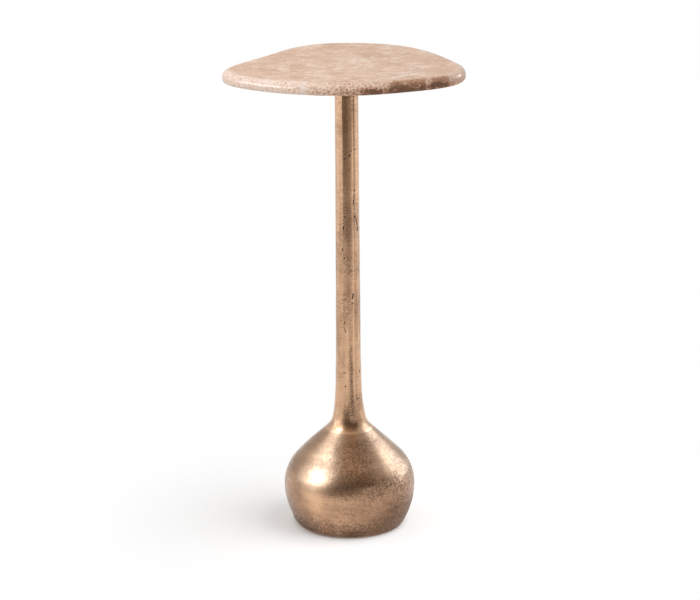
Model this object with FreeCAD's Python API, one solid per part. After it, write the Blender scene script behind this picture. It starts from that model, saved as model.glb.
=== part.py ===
"""Wine table: a pebble of stone on a slim cast stem that rises from a weighted bulb.

The origin is on the floor, under the middle of the stem. +Z is up, and -Y is the front.
All lengths are in millimetres. A tie rod pulls the top flange, stem, bulb and ballast together.
"""
import FreeCAD
import Part
import math
import os

from FreeCAD import Vector

os.makedirs("parts", exist_ok=True)

# Whole table
overall_height = 610.0

# Stone top: how far its side reaches from the stem's axis, going round from +X towards +Y
top_right = 144.0
top_flat_side = 133.0            # flat stretch on the right, towards the rear
top_rear_right = 138.5
top_rear = 140.0
top_rear_left = 137.0
top_hollow_rear = 122.5          # both ends of the slightly hollow stretch on the left
top_hollow_front = 121.0
top_left_bend = 137.0
top_left_end = 159.5
top_left_front = 143.5
top_front_left = 127.5
top_front = 124.0
top_front_right = 129.0
top_right_end = 153.5
top_thickness = 16.0
top_upper_edge_radius = 9.0
top_lower_edge_radius = 6.0
top_least_side = 0.5             # straight side that is left between the two rounded edges

# Flange under the top, with a hub that plugs into the stem
flange_radius = 55.0
flange_thickness = 5.0
flange_edge_chamfer = 0.8
hub_length = 20.0
gasket_thickness = 1.5
gasket_screw_margin = 16.0       # from the circle of screws to the gasket's inner edge

# Screws that hold the top, and the threaded inserts glued into the stone
top_screw_count = 4
top_screw_start = 45.0           # degrees from +X
top_screw_edge_margin = 15.0     # from the flange's edge to the circle of screws
top_screw_radius = 3.0
top_screw_reach = 7.9            # length inside the insert
top_screw_head_overhang = 2.25
top_screw_head_height = 3.3
top_screw_head_rounding = 2.2
top_screw_socket = 4.0           # across the flats
top_screw_socket_depth = 2.0
top_screw_hole_clearance = 0.3
top_washer_width = 2.4
top_washer_thickness = 1.6
insert_wall = 2.0
insert_length = 10.0
insert_groove_count = 2
insert_groove_depth = 0.6
insert_groove_width = 1.2
insert_glue_gap = 0.1
insert_end_gap = 0.5

# Stem: a hollow casting, slightly tapered, that flares into the bulb's shoulder
stem_top_radius = 14.7
stem_low_radius = 15.9
flare_radius = 345.0
neck_fillet_radius = 25.0
neck_break = 10.0                # degrees off upright, where the flare turns into the fillet
spigot_wall = 3.0
spigot_length = 14.0
spigot_chamfer = 1.0

# Bulb: a hollow casting, open below
rim_radius = 65.5
rim_land = 7.5                   # flat width of the rim round the base cover
rim_edge_radius = 2.5
belly_swell = 19.0               # how far the belly stands out beyond the rim
belly_height = 54.0
shoulder_radius = 55.5
shoulder_slope = 45.8            # degrees off upright
bulb_wall = 7.0
neck_web = 6.0                   # metal between the stem's socket and the hollow
ledge_width = 9.0
ledge_thickness = 11.0

# Ballast inside the bulb
ballast_mouth_clearance = 2.0
ballast_side_clearance = 2.0
ballast_floor_gap = 1.5
ballast_edge_chamfer = 2.0
nut_recess_clearance = 3.0

# Tie rod and what tightens it
rod_radius = 5.0
rod_clearance = 0.5
rod_room = 4.25                  # from the rod to the bore of the stem
rod_end_chamfer = 1.0
rod_below_nut = 4.0
rod_below_flange_top = 2.0
rod_washer_width = 9.5
rod_washer_thickness = 2.5
rod_lock_washer_width = 3.8
rod_lock_washer_thickness = 2.2
nut_across_flats = 16.0
nut_height = 8.4
nut_corner_angle = 30.0          # degrees, of the cone that turns off the corners
nut_end_gap = 2.5

# Base cover, its screws and the felt under it
cover_thickness = 3.0
cover_clearance = 0.5
cover_edge_chamfer = 0.5
cover_screw_count = 4
cover_screw_start = 0.0          # degrees from +X
cover_screw_radius = 2.0
cover_screw_reach = 7.0          # length inside the bulb's ledge
cover_screw_head_overhang = 1.8
cover_screw_slot_length = 4.0
cover_screw_slot_width = 1.0
cover_screw_slot_depth = 0.9
cover_screw_end_gap = 1.0
felt_inset = 2.5
felt_thickness = 3.0
felt_below_rim = 1.0

# Fits that the fasteners share
thread_clearance = 0.05
plug_clearance = 0.1
countersink_clearance = 0.1
lock_washer_clearance = 0.1
lock_washer_split = 1.2
screw_end_chamfer = 0.5
same_height = 0.01               # faces and edges within this lie at one height

# Heights of the faces where the pieces meet
rim_height = felt_below_rim
cover_underside = felt_thickness
cover_topside = cover_underside + cover_thickness
ledge_topside = cover_topside + ledge_thickness
stone_underside = overall_height - top_thickness
flange_topside = stone_underside - gasket_thickness
stem_topside = flange_topside - flange_thickness
top_washer_underside = stem_topside - top_washer_thickness
top_screw_tip = stone_underside + top_screw_reach

# Radii that pieces share
belly_radius = rim_radius + belly_swell
recess_radius = rim_radius - rim_land
cover_radius = recess_radius - cover_clearance
mouth_radius = recess_radius - ledge_width
cover_screw_circle = recess_radius - ledge_width / 2
top_screw_circle = flange_radius - top_screw_edge_margin
top_screw_hole_radius = top_screw_radius + top_screw_hole_clearance
insert_radius = top_screw_radius + insert_wall
stem_bore = rod_radius + rod_room
hub_radius = stem_bore - plug_clearance
spigot_radius = stem_bore + spigot_wall
socket_radius = spigot_radius + plug_clearance
rod_hole_radius = rod_radius + rod_clearance
rod_thread_radius = rod_radius + thread_clearance
rod_washer_radius = rod_hole_radius + rod_washer_width

# Directions, in radians off upright, of the bulb's shoulder and of the neck
shoulder_lean = math.radians(shoulder_slope)
neck_lean = math.radians(neck_break)


def at(radius, height):
    """Point at a radius and a height, in the plane of +X and +Z."""
    return Vector(radius, 0, height)


def round_point(centre, radius, angle):
    """Point of a circle in the profile plane, at an angle above +X."""
    return centre + at(radius * math.cos(angle), radius * math.sin(angle))


def round_edge(centre, radius, start, end):
    """Arc of a circle in the profile plane, between two angles above +X."""
    middle = (start + end) / 2
    stops = [round_point(centre, radius, angle) for angle in (start, middle, end)]
    return Part.Arc(*stops).toShape()


def straight_edges(points):
    """Straight edges that join a row of points."""
    return [Part.LineSegment(a, b).toShape() for a, b in zip(points, points[1:])]


def turned(edges):
    """Solid swept by a closed profile that is turned about the stem's axis."""
    profile = Part.Wire(Part.sortEdges(edges)[0])
    return Part.Face(profile).revolve(Vector(0, 0, 0), Vector(0, 0, 1), 360)


def turned_polygon(points):
    """Solid of revolution with straight profile sides."""
    return turned(straight_edges(points + points[:1]))


def disc(radius, low, high):
    """Round plate or pin on the stem's axis, between two heights."""
    return Part.makeCylinder(radius, high - low, at(0, low))


def ring(inner, outer, low, high):
    """Flat ring on the stem's axis, between two heights."""
    return disc(outer, low, high).cut(disc(inner, low, high))


def split_ring(inner, outer, low, high):
    """Spring lock washer: a flat ring with a cut through one side."""
    gap = Part.makeBox(outer, lock_washer_split, high - low, Vector(0, -lock_washer_split / 2, low))
    return ring(inner, outer, low, high).cut(gap)


def hexagon_corner(across_flats):
    """Distance from the axis to the corners of a hexagon."""
    return across_flats / math.sqrt(3)


def hexagon(across_flats, low, high):
    """Six-sided prism on the stem's axis, between two heights."""
    corner = hexagon_corner(across_flats)
    turns = [math.radians(60 * step) for step in range(7)]
    points = [Vector(corner * math.cos(turn), corner * math.sin(turn), low) for turn in turns]
    return Part.Face(Part.makePolygon(points)).extrude(at(0, high - low))


def edges_at(piece, height):
    """Edges of a piece that lie flat at one height."""
    def lies_there(edge):
        box = edge.BoundBox
        return abs(box.ZMin - height) < same_height and abs(box.ZMax - height) < same_height
    return [edge for edge in piece.Edges if lies_there(edge)]


def around(piece, count, circle, start):
    """Copies of a piece, evenly spaced on a circle about the stem's axis."""
    copies = []
    for step in range(count):
        copy = piece.copy()
        copy.translate(at(circle, 0))
        copy.rotate(Vector(0, 0, 0), Vector(0, 0, 1), start + 360 * step / count)
        copies.append(copy)
    return copies


def top_pattern(piece):
    """Copies of a piece at the screws that hold the top."""
    return around(piece, top_screw_count, top_screw_circle, top_screw_start)


def cover_pattern(piece):
    """Copies of a piece at the screws that hold the base cover."""
    return around(piece, cover_screw_count, cover_screw_circle, cover_screw_start)


class PedestalOutline:
    """Outline that the bulb and the stem share, and the heights that follow from it."""

    def __init__(self):
        self.set_flank()
        self.set_shoulder()
        self.set_neck()
        self.set_flare()

    def set_flank(self):
        """Arc from the rim, upright where it reaches the belly."""
        rise = belly_height - rim_height
        self.flank_radius = (belly_swell ** 2 + rise ** 2) / (2 * belly_swell)
        self.flank_centre = at(belly_radius - self.flank_radius, belly_height)

    def set_shoulder(self):
        """Arc over the belly, and the straight slope that it runs into."""
        self.shoulder_centre = at(belly_radius - shoulder_radius, belly_height)
        self.shoulder_end = round_point(self.shoulder_centre, shoulder_radius, shoulder_lean)

    def set_neck(self):
        """Circle on the slope where the stem stands on the bulb, and the fillet above it."""
        flare_spread = flare_radius * (1 - math.cos(neck_lean))
        fillet_spread = neck_fillet_radius * (math.cos(neck_lean) - math.cos(shoulder_lean))
        neck_radius = stem_low_radius + flare_spread + fillet_spread
        climb = (self.shoulder_end.x - neck_radius) / math.tan(shoulder_lean)
        self.neck_height = self.shoulder_end.z + climb
        self.seat = at(neck_radius, self.neck_height)
        self.fillet_centre = round_point(self.seat, neck_fillet_radius, shoulder_lean)

    def set_flare(self):
        """Long hollow curve above the fillet, up to where the straight taper touches it."""
        fillet_end = round_point(self.fillet_centre, -neck_fillet_radius, neck_lean)
        self.flare_centre = round_point(fillet_end, flare_radius, neck_lean)
        reach = at(stem_top_radius, stem_topside) - self.flare_centre
        self.taper_lean = math.atan2(reach.z, reach.x) - math.acos(-flare_radius / reach.Length)

    def flank_angle(self, height, inset):
        """Angle at which the flank, moved inwards by an inset, passes a height."""
        return math.asin((height - belly_height) / (self.flank_radius - inset))

    def slope_point(self, height, inset):
        """Point of the shoulder's slope, moved inwards by an inset, at a height."""
        run = (height - self.neck_height) * math.tan(shoulder_lean)
        return at(self.seat.x - run - inset / math.cos(shoulder_lean), height)

    def bulb_wall_edges(self, foot, head, inset):
        """Edges from one height, over the belly, to another height on the slope."""
        flank = self.flank_radius - inset
        shoulder = shoulder_radius - inset
        slope_start = round_point(self.shoulder_centre, shoulder, shoulder_lean)
        return [
            round_edge(self.flank_centre, flank, self.flank_angle(foot, inset), 0),
            round_edge(self.shoulder_centre, shoulder, 0, shoulder_lean),
        ] + straight_edges([slope_start, self.slope_point(head, inset)])

    def flank_point(self, height, inset):
        """Point of the flank, moved inwards by an inset, at a height."""
        return round_point(self.flank_centre, self.flank_radius - inset, self.flank_angle(height, inset))

    def stem_edges(self):
        """Edges from the stem's seat, up the fillet, flare and taper, to its top."""
        taper_start = round_point(self.flare_centre, -flare_radius, self.taper_lean)
        return [
            round_edge(self.fillet_centre, -neck_fillet_radius, shoulder_lean, neck_lean),
            round_edge(self.flare_centre, -flare_radius, neck_lean, self.taper_lean),
        ] + straight_edges([taper_start, at(stem_top_radius, stem_topside)])


outline = PedestalOutline()
socket_floor = outline.neck_height - spigot_length - plug_clearance
hollow_ceiling = socket_floor - neck_web
ballast_underside = cover_topside + ballast_floor_gap
nut_underside = ballast_underside + nut_end_gap + rod_below_nut
nut_topside = nut_underside + nut_height
rod_washer_underside = nut_topside + rod_lock_washer_thickness
nut_recess_top = rod_washer_underside + rod_washer_thickness


def top_side_points():
    """Points that the stone's side passes through, each at a direction in degrees from +X."""
    reaches = {
        0: top_right,
        25: top_flat_side,
        55: top_rear_right,
        85: top_rear,
        112: top_rear_left,
        138: top_hollow_rear,
        155: top_hollow_front,
        175: top_left_bend,
        195: top_left_end,
        220: top_left_front,
        248: top_front_left,
        275: top_front,
        305: top_front_right,
        340: top_right_end,
    }
    rotations = {turn: FreeCAD.Rotation(Vector(0, 0, 1), turn) for turn in reaches}
    return [rotations[turn].multVec(at(reach, stone_underside)) for turn, reach in reaches.items()]


def stone_top():
    """Slab with a smooth irregular outline, rounded edges and blind holes for the inserts."""
    side = Part.BSplineCurve()
    side.interpolate(top_side_points(), PeriodicFlag=True)
    slab = Part.Face(Part.Wire(side.toShape())).extrude(at(0, top_thickness))
    room = (top_thickness - top_least_side) / (top_upper_edge_radius + top_lower_edge_radius)
    rounding = min(1, room)
    slab = slab.makeFillet(top_upper_edge_radius * rounding, edges_at(slab, overall_height))
    slab = slab.makeFillet(top_lower_edge_radius * rounding, edges_at(slab, stone_underside))
    hole_top = max(stone_underside + insert_length, top_screw_tip) + insert_end_gap
    hole = disc(insert_radius + insert_glue_gap, stone_underside, hole_top)
    return slab.cut(top_pattern(hole))


def stone_inserts():
    """Threaded bushes, flush with the underside of the stone, grooved for the glue."""
    low = stone_underside
    bush = ring(top_screw_radius + thread_clearance, insert_radius, low, low + insert_length)
    spacing = insert_length / (insert_groove_count + 1)
    for step in range(insert_groove_count):
        groove_low = low + spacing * (step + 1) - insert_groove_width / 2
        groove_high = groove_low + insert_groove_width
        bush = bush.cut(ring(insert_radius - insert_groove_depth, insert_radius, groove_low, groove_high))
    return Part.makeCompound(top_pattern(bush))


def flange_gasket():
    """Thin cushion between the flange and the stone."""
    inner = top_screw_circle - gasket_screw_margin
    sheet = ring(inner, flange_radius, flange_topside, stone_underside)
    return sheet.cut(top_pattern(disc(top_screw_hole_radius, flange_topside, stone_underside)))


def top_flange():
    """Round plate under the stone, with a threaded hub that plugs into the stem."""
    low = stem_topside
    hub_low = low - hub_length
    bevel = flange_edge_chamfer
    body = turned_polygon([
        at(rod_thread_radius, hub_low),
        at(hub_radius - bevel, hub_low),
        at(hub_radius, hub_low + bevel),
        at(hub_radius, low),
        at(flange_radius - bevel, low),
        at(flange_radius, low + bevel),
        at(flange_radius, flange_topside),
        at(rod_thread_radius, flange_topside),
    ])
    return body.cut(top_pattern(disc(top_screw_hole_radius, low, flange_topside)))


def top_lock_washers():
    """Spring washers between the screw heads and the flange."""
    inner = top_screw_radius + lock_washer_clearance
    washer = split_ring(inner, inner + top_washer_width, top_washer_underside, stem_topside)
    return Part.makeCompound(top_pattern(washer))


def top_screws():
    """Button-head socket screws, driven up through the flange into the inserts."""
    face = top_washer_underside
    head_low = face - top_screw_head_height
    head = disc(top_screw_radius + top_screw_head_overhang, head_low, face)
    rounding = min(top_screw_head_rounding, top_screw_head_height - screw_end_chamfer)
    head = head.makeFillet(rounding, edges_at(head, head_low))
    shank = disc(top_screw_radius, face, top_screw_tip)
    shank = shank.makeChamfer(screw_end_chamfer, edges_at(shank, top_screw_tip))
    socket = hexagon(top_screw_socket, head_low, head_low + top_screw_socket_depth)
    return Part.makeCompound(top_pattern(head.fuse(shank).cut(socket)))


def stem():
    """Hollow cast stem that stands on the bulb, with a spigot in the bulb's neck."""
    spigot_low = outline.neck_height - spigot_length
    inside = straight_edges([
        at(stem_top_radius, stem_topside),
        at(stem_bore, stem_topside),
        at(stem_bore, spigot_low),
        at(spigot_radius - spigot_chamfer, spigot_low),
        at(spigot_radius, spigot_low + spigot_chamfer),
        at(spigot_radius, outline.neck_height),
        outline.seat,
    ])
    return turned(outline.stem_edges() + inside)


def bulb():
    """Hollow cast foot: socket for the stem, sloping shoulder, ledge for the base cover."""
    outside = outline.bulb_wall_edges(rim_height, outline.neck_height, 0)
    inside = outline.bulb_wall_edges(ledge_topside, hollow_ceiling, bulb_wall)
    neck = straight_edges([
        outline.seat,
        at(socket_radius, outline.neck_height),
        at(socket_radius, socket_floor),
        at(rod_hole_radius, socket_floor),
        at(rod_hole_radius, hollow_ceiling),
        outline.slope_point(hollow_ceiling, bulb_wall),
    ])
    foot = straight_edges([
        outline.flank_point(ledge_topside, bulb_wall),
        at(mouth_radius, ledge_topside),
        at(mouth_radius, cover_topside),
        at(recess_radius, cover_topside),
        at(recess_radius, rim_height),
        outline.flank_point(rim_height, 0),
    ])
    shell = turned(outside + neck + inside + foot)
    outer_rim = [edge for edge in edges_at(shell, rim_height) if edge.Curve.Radius > recess_radius + same_height]
    shell = shell.makeFillet(min(rim_edge_radius, rim_land / 2), outer_rim)
    hole_top = cover_topside + cover_screw_reach + cover_screw_end_gap
    hole = disc(cover_screw_radius + thread_clearance, cover_topside, hole_top)
    return shell.cut(cover_pattern(hole))


def ballast():
    """Cast weight, pulled up against the ceiling of the hollow, recessed below for the nut."""
    bevel = ballast_edge_chamfer
    side = mouth_radius - ballast_mouth_clearance
    ceiling_room = outline.slope_point(hollow_ceiling, bulb_wall + ballast_side_clearance).x
    top_radius = min(ceiling_room, side - bevel)
    drop = (side - top_radius) / math.tan(shoulder_lean)
    recess = rod_washer_radius + nut_recess_clearance
    return turned_polygon([
        at(rod_hole_radius, hollow_ceiling),
        at(top_radius, hollow_ceiling),
        at(side, hollow_ceiling - drop),
        at(side, ballast_underside + bevel),
        at(side - bevel, ballast_underside),
        at(recess, ballast_underside),
        at(recess, nut_recess_top),
        at(rod_hole_radius, nut_recess_top),
    ])


def tie_rod():
    """Threaded rod from the flange's hub, down the stem, to the nut under the ballast."""
    low = nut_underside - rod_below_nut
    high = flange_topside - rod_below_flange_top
    bevel = rod_end_chamfer
    return turned_polygon([
        at(0, low),
        at(rod_radius - bevel, low),
        at(rod_radius, low + bevel),
        at(rod_radius, high - bevel),
        at(rod_radius - bevel, high),
        at(0, high),
    ])


def rod_washer():
    """Wide flat washer in the ballast's recess."""
    return ring(rod_hole_radius, rod_washer_radius, rod_washer_underside, nut_recess_top)


def rod_lock_washer():
    """Spring washer between the nut and the flat washer."""
    inner = rod_radius + lock_washer_clearance
    return split_ring(inner, inner + rod_lock_washer_width, nut_topside, rod_washer_underside)


def rod_nut():
    """Hexagon nut with its corners turned off at both ends."""
    corner = hexagon_corner(nut_across_flats)
    flat = nut_across_flats / 2
    drop = (corner - flat) * math.tan(math.radians(nut_corner_angle))
    envelope = turned_polygon([
        at(rod_thread_radius, nut_underside),
        at(flat, nut_underside),
        at(corner, nut_underside + drop),
        at(corner, nut_topside - drop),
        at(flat, nut_topside),
        at(rod_thread_radius, nut_topside),
    ])
    return envelope.common(hexagon(nut_across_flats, nut_underside, nut_topside))


def base_cover():
    """Plate that closes the bulb from below, countersunk for its screws."""
    bevel = cover_edge_chamfer
    plate = turned_polygon([
        at(0, cover_underside),
        at(cover_radius - bevel, cover_underside),
        at(cover_radius, cover_underside + bevel),
        at(cover_radius, cover_topside),
        at(0, cover_topside),
    ])
    hole = cover_screw_radius + countersink_clearance
    head = hole + cover_screw_head_overhang
    countersink = Part.makeCone(head, hole, cover_screw_head_overhang, at(0, cover_underside))
    return plate.cut(cover_pattern(countersink.fuse(disc(hole, cover_underside, cover_topside))))


def cover_screws():
    """Countersunk screws with crossed slots, from the cover into the bulb's ledge."""
    face = cover_underside
    tip = cover_topside + cover_screw_reach
    body = turned_polygon([
        at(0, face),
        at(cover_screw_radius + cover_screw_head_overhang, face),
        at(cover_screw_radius, face + cover_screw_head_overhang),
        at(cover_screw_radius, tip - screw_end_chamfer),
        at(cover_screw_radius - screw_end_chamfer, tip),
        at(0, tip),
    ])
    corner = Vector(-cover_screw_slot_length / 2, -cover_screw_slot_width / 2, face)
    slot = Part.makeBox(cover_screw_slot_length, cover_screw_slot_width, cover_screw_slot_depth, corner)
    crossing = slot.copy()
    crossing.rotate(at(0, face), Vector(0, 0, 1), 90)
    return Part.makeCompound(cover_pattern(body.cut([slot, crossing])))


def felt_pad():
    """Felt disc glued under the base cover, which the table stands on."""
    return disc(cover_radius - felt_inset, 0, cover_underside)


pieces = {
    "stone_top": stone_top,
    "stone_inserts": stone_inserts,
    "flange_gasket": flange_gasket,
    "top_flange": top_flange,
    "top_lock_washers": top_lock_washers,
    "top_screws": top_screws,
    "stem": stem,
    "bulb": bulb,
    "ballast": ballast,
    "tie_rod": tie_rod,
    "rod_washer": rod_washer,
    "rod_lock_washer": rod_lock_washer,
    "rod_nut": rod_nut,
    "base_cover": base_cover,
    "cover_screws": cover_screws,
    "felt_pad": felt_pad,
}

for node, make in pieces.items():
    make().exportStep(f"parts/{node}.step")
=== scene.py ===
"""Wine table: a pebble of polished stone on a rough-cast brass stem and bulb, in a white studio."""
import math
import random

import bmesh
import bpy
from mathutils import Matrix, Quaternion, Vector, kdtree, noise
from mathutils.bvhtree import BVHTree


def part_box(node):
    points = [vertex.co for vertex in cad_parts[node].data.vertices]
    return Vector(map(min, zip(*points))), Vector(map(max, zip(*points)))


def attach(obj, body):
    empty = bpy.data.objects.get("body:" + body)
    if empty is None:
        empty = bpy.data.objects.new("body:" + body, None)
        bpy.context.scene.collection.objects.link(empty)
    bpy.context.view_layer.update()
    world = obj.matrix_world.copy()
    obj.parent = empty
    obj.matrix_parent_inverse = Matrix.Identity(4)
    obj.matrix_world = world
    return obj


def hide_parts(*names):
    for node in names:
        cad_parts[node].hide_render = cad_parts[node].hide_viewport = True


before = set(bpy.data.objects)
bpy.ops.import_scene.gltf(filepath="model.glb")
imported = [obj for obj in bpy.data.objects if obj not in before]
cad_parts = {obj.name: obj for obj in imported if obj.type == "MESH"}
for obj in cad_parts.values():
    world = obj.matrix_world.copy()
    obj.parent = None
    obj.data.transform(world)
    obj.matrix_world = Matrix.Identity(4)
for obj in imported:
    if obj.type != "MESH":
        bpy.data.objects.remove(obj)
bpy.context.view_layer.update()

# Lengths are metres, and MM turns millimetres into them
MM = 0.001
UP = Vector((0, 0, 1))
MERGE = 0.001 * MM

# Camera, from the viewing angle, distance and framing of the table
CAMERA_PLACE = (0.0026, -3.400, 1.305)
CAMERA_PITCH = 16.45
CAMERA_ROLL = 0.38
CAMERA_LENS = 142.1

# Stone top
TOP_SIDES = 480
TOP_UPPER_ROUND = 9 * MM
TOP_LOWER_ROUND = 6 * MM
TOP_UPPER_SEGMENTS = 12
TOP_LOWER_SEGMENTS = 8
TOP_BORDER_RINGS = 6
TOP_BORDER_STEP = 3 * MM
TOP_FACE_RINGS = (0.85, 0.80, 0.72, 0.60, 0.40)
TOP_WAVINESS = 0.25 * MM
TOP_WAVE_LENGTH = 14 * MM

# Pale veins on the top: both ends as x and y, and half the width, in millimetres
TOP_VEINS = (
    ((75, -14), (104, -26), 2.6),
    ((44, -99), (100, -56), 7.0),
    ((-95, 24), (-77, 26), 2.8),
    ((53, 4), (66, 9), 2.4),
    ((-60, -90), (-44, -85), 3.2),
)

# Smoky stretches of the stone's front side, as their ends along X in millimetres
SMOKY_STRETCHES = ((18, 43), (51, 96), (103, 126))

# Castings
STEM_SIDES = 192
STEM_STEP = 1.5 * MM
BULB_SIDES = 384
BULB_STEP = 1.3 * MM
SKIN_SMOOTHING = 6
SMOOTH_ABOVE = 4.5 * MM
BROAD_WAVE = 62 * MM
BROAD_RISE = 0.30 * MM
SMALL_WAVE = 21 * MM
SMALL_RISE = 0.12 * MM
FOOT_OFFSET = 0.6 * MM
FOOT_OFFSET_HEIGHTS = (146 * MM, 172 * MM)

# Ridges (standing out) and grooves (sunk) between the stem's filed flats: turn from the front towards +X,
# depth in millimetres, width to each side in degrees, and the heights between which they fade in
STEM_RIDGES = (
    (-22, 0.20, 14, 14, 240, 340),
    (33, -0.62, 20, 12, 170, 330),
    (27, 0.10, 5, 5, 130, 160),
    (88, 0.18, 16, 16, 200, 320),
    (140, -0.20, 18, 14, 200, 320),
    (-75, 0.16, 18, 18, 220, 340),
    (-128, -0.22, 14, 20, 200, 320),
    (-172, 0.18, 16, 16, 200, 320),
)
RIDGE_SWAY = 2.5

# Where the finished stem is fuller or slimmer than its plain taper: height, amount and spread in millimetres
STEM_SWELLS = ((200, 0.75, 24), (157, -0.25, 12), (255, 0.20, 30))

# Where the finished bulb is fuller: height, turn from the front towards +X, amount, and its spread in
# height and in turn, in millimetres and degrees
BULB_SWELLS = (
    (2, 0, 1.2, 9, 400),
    (60, -90, 0.55, 45, 45),
    (60, 90, 0.35, 45, 45),
    (3, 66, 2.2, 26, 62),
    (7, -82, 1.9, 8, 45),
    (108, -95, 1.3, 13, 50),
    (77, 21, 0.8, 8, 9),
)

# Darker (above 0) and brighter (below 0) patches of the castings, in the same order: the darker rows are
# stains, the brighter rows are painted reflections
STEM_STAINS_AND_SHEEN = (
    (205, 14, 0.22, 48, 7),
    (270, 27, -0.22, 110, 4),
    (215, -8, -0.14, 40, 12),
    (392, 5, 0.10, 26, 30),
    (138, 12, 0.35, 6, 28),
    (420, 150, 0.20, 60, 25),
    (250, -120, 0.20, 50, 25),
)
BULB_STAINS_AND_SHEEN = (
    (24, -66, 0.16, 20, 13),
    (9, -52, 0.36, 4, 12),
    (6, 4, 0.34, 6, 12),
    (12, 55, 0.42, 9, 16),
    (50, -34, -0.28, 26, 12),
    (55, 5, -0.03, 12, 25),
    (66, 24, -0.14, 8, 20),
    (20, 118, 0.25, 18, 20),
    (30, -140, 0.25, 16, 24),
    (70, 170, 0.20, 20, 18),
)

# Pits and scars of the castings: height, turn from the front towards +X, width, length, lean from upright
STEM_SCARS = (
    (491, -12, 2.3, 2.5, 0),
    (495, 11, 1.5, 4.5, 40),
    (501, 17, 0.9, 4.5, 60),
    (502, 40, 0.7, 13.0, 90),
    (553, 38, 1.2, 2.2, 0),
    (477, 9, 1.1, 3.4, 20),
    (449, 38, 1.5, 2.6, 30),
    (442, 36, 0.9, 5.0, 30),
    (434, 32, 1.2, 7.0, 10),
    (415, 38, 1.5, 3.0, 70),
    (408, 49, 1.1, 11.0, -15),
    (398, 56, 1.8, 7.0, 0),
    (388, 58, 1.0, 2.0, 0),
    (415, -12, 1.2, 3.6, 15),
    (401, -19, 1.3, 4.5, 10),
    (372, -25, 1.0, 4.5, 10),
    (361, -16, 1.6, 2.0, 60),
    (343, 10, 0.6, 8.0, 35),
    (310, 24, 1.6, 6.5, 15),
    (313, 28, 1.0, 3.0, 80),
    (301, 20, 1.3, 2.2, 0),
    (301, 30, 1.0, 2.0, 45),
    (276, -16, 0.8, 5.0, 10),
    (265, -14, 0.8, 6.0, -10),
    (253, -42, 1.0, 1.6, 0),
    (208, -18, 0.9, 3.6, 80),
    (190, -13, 1.6, 2.0, 0),
    (176, 36, 1.3, 1.8, 30),
    (172, 39, 1.5, 2.4, 70),
    (173, 44, 1.1, 1.4, 0),
    (208, 60, 1.2, 4.6, 0),
)
LADDER_SCAR = {"seed": 11, "turn": 12, "low": 152, "high": 246, "step": 2.7}
BULB_SCARS = (
    (64, -16, 1.5, 1.5, 0),
    (76, -16, 1.3, 1.3, 0),
    (37, 4, 1.2, 1.2, 0),
    (49, 18, 1.2, 1.2, 0),
    (80, 3, 1.2, 1.2, 0),
    (70.6, 36, 1.4, 3.4, 80),
    (71.4, 40.5, 1.4, 3.0, 70),
    (72.6, 44, 1.4, 2.4, 80),
)

# Blisters of the bulb: height, turn and width
BULB_BLISTERS = ((72.0, 34, 3.4), (73.0, 38, 3.6), (73.0, 42.5, 2.6), (72.5, 47, 2.8))
BLISTER_STEEPNESS = 0.14
PIT_STEEPNESS = 0.16
STRAY_STEM_PITS = {"seed": 3, "count": 36, "low": 145, "high": 580}
STRAY_BULB_PITS = {"seed": 5, "count": 50, "low": 6, "high": 125}
PIT_CUTS = 2

# Felt: its edge is rounded by a share of its thickness
FELT_SIDES = 160
FELT_EDGE_SHARE = 0.4
FELT_EDGE_SEGMENTS = 5
FELT_FACE_RINGS = (0.93, 0.85, 0.8, 0.7, 0.5)
FELT_UNEVENNESS = 0.12 * MM

# Floor: its lift only shows to rays that see it, and pairs are distances from the stem's axis
FLOOR_FRONT = -1.34
FLOOR_REAR = 5.0
FLOOR_HALF_WIDTH = 5.0
FLOOR_SKEW = math.radians(4)
FLOOR_FADE = (0.15, 0.36)          # turns plain white
FLOOR_LIFT = 0.31
# Painted shade round the foot: the floor's lift is left out close to the stem and sets in between these
# distances
PAINTED_FOOT_SHADE = (0.058, 0.080)   # the lift sets in
FLOOR_OPENING = (0.0572, 0.0582)   # edge of the opening under the felt

# Light of the walls, and what the walls at the sides add, and where the lamps point
WALL_LIGHT = 0.36
SIDE_LIGHT = 0.45
FOOT = Vector((0, 0, 0.08))
TOP = Vector((0, 0, 0.60))
STEM_MIDDLE = Vector((0, 0, 0.47))
NECK = Vector((0, 0, 0.14))
DAYLIGHT = (0.68, 0.85, 1.0)


# Shader maths

class Value:
    """A shader socket that adds Math nodes when it is used in arithmetic."""

    def __init__(self, finish, socket):
        self.finish = finish
        self.socket = socket

    def __add__(self, other):
        return self.finish.maths("ADD", self, other)

    def __radd__(self, other):
        return self.finish.maths("ADD", other, self)

    def __sub__(self, other):
        return self.finish.maths("SUBTRACT", self, other)

    def __rsub__(self, other):
        return self.finish.maths("SUBTRACT", other, self)

    def __mul__(self, other):
        return self.finish.maths("MULTIPLY", self, other)

    def __rmul__(self, other):
        return self.finish.maths("MULTIPLY", other, self)

    def __abs__(self):
        return self.finish.maths("ABSOLUTE", self)

    def at_least(self, other):
        return self.finish.maths("MAXIMUM", self, other)

    def rise(self, start, end):
        """Smooth step from 0 at start to 1 at end."""
        settings = {"interpolation_type": "SMOOTHSTEP"}
        return self.finish.node("MapRange", settings, {"Value": self, "From Min": start, "From Max": end})

    def fall(self, start, end):
        """Smooth step from 1 at start to 0 at end."""
        return 1 - self.rise(start, end)


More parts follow.
